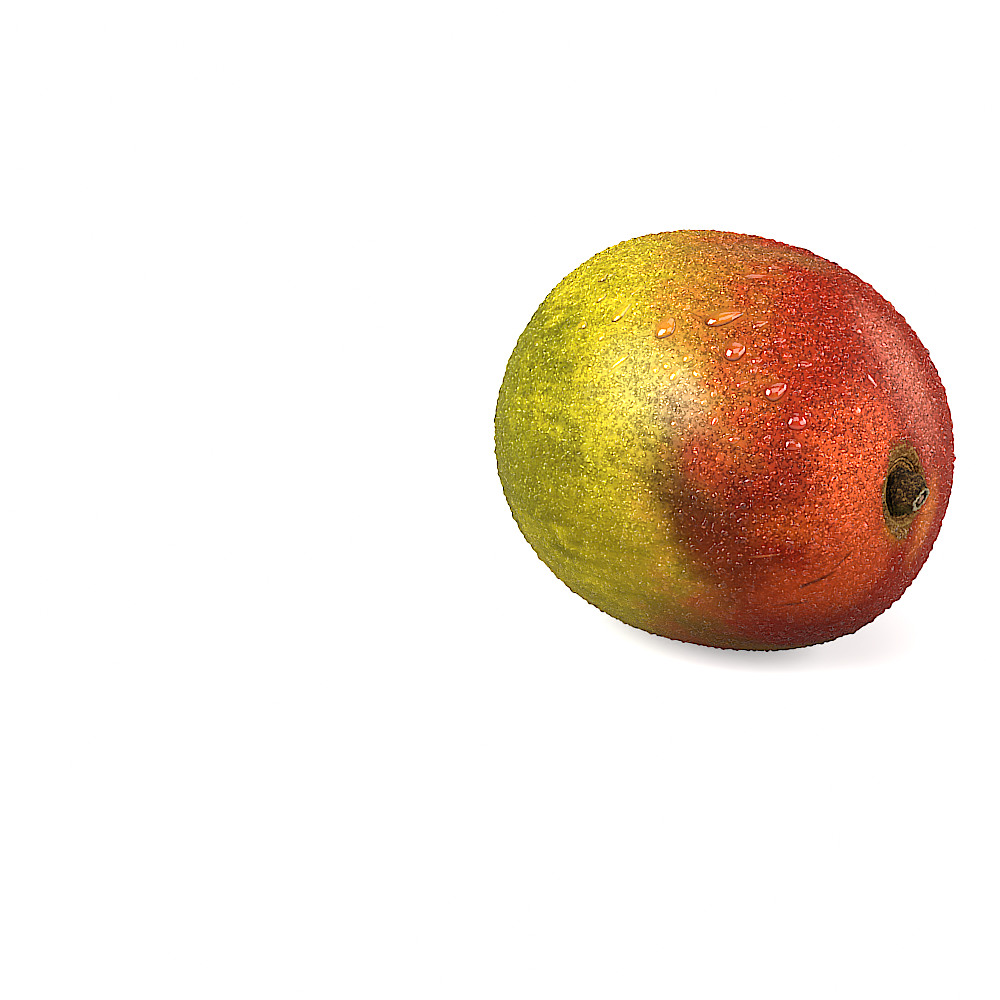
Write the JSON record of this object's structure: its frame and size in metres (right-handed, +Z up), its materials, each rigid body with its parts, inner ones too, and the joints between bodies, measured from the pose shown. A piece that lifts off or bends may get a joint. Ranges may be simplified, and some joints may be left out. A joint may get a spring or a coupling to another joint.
{
  "type": "whole mango",
  "caption": "Plump oval whole mango with a blushed skin, lying on its side, with a shallow teardrop hollow that holds a short woody cut stem stub.",
  "frame": {"origin": "on the surface that the fruit lies on, under the middle of its box", "axes": "+X along the fruit's long axis towards the stem, +Z up through its thinner side"},
  "size_m": [0.1156, 0.0958, 0.0924],
  "materials": {
    "mango_skin": "waxy, satin to glossy, with fine pale dots; orange-red blush over yellow and green",
    "stem_wood": "rough dark brown bark with a pale cut end"
  },
  "bodies": {
    "root": {"fruit": "mango_skin", "stem": "stem_wood"}
  },
  "joints": []
}
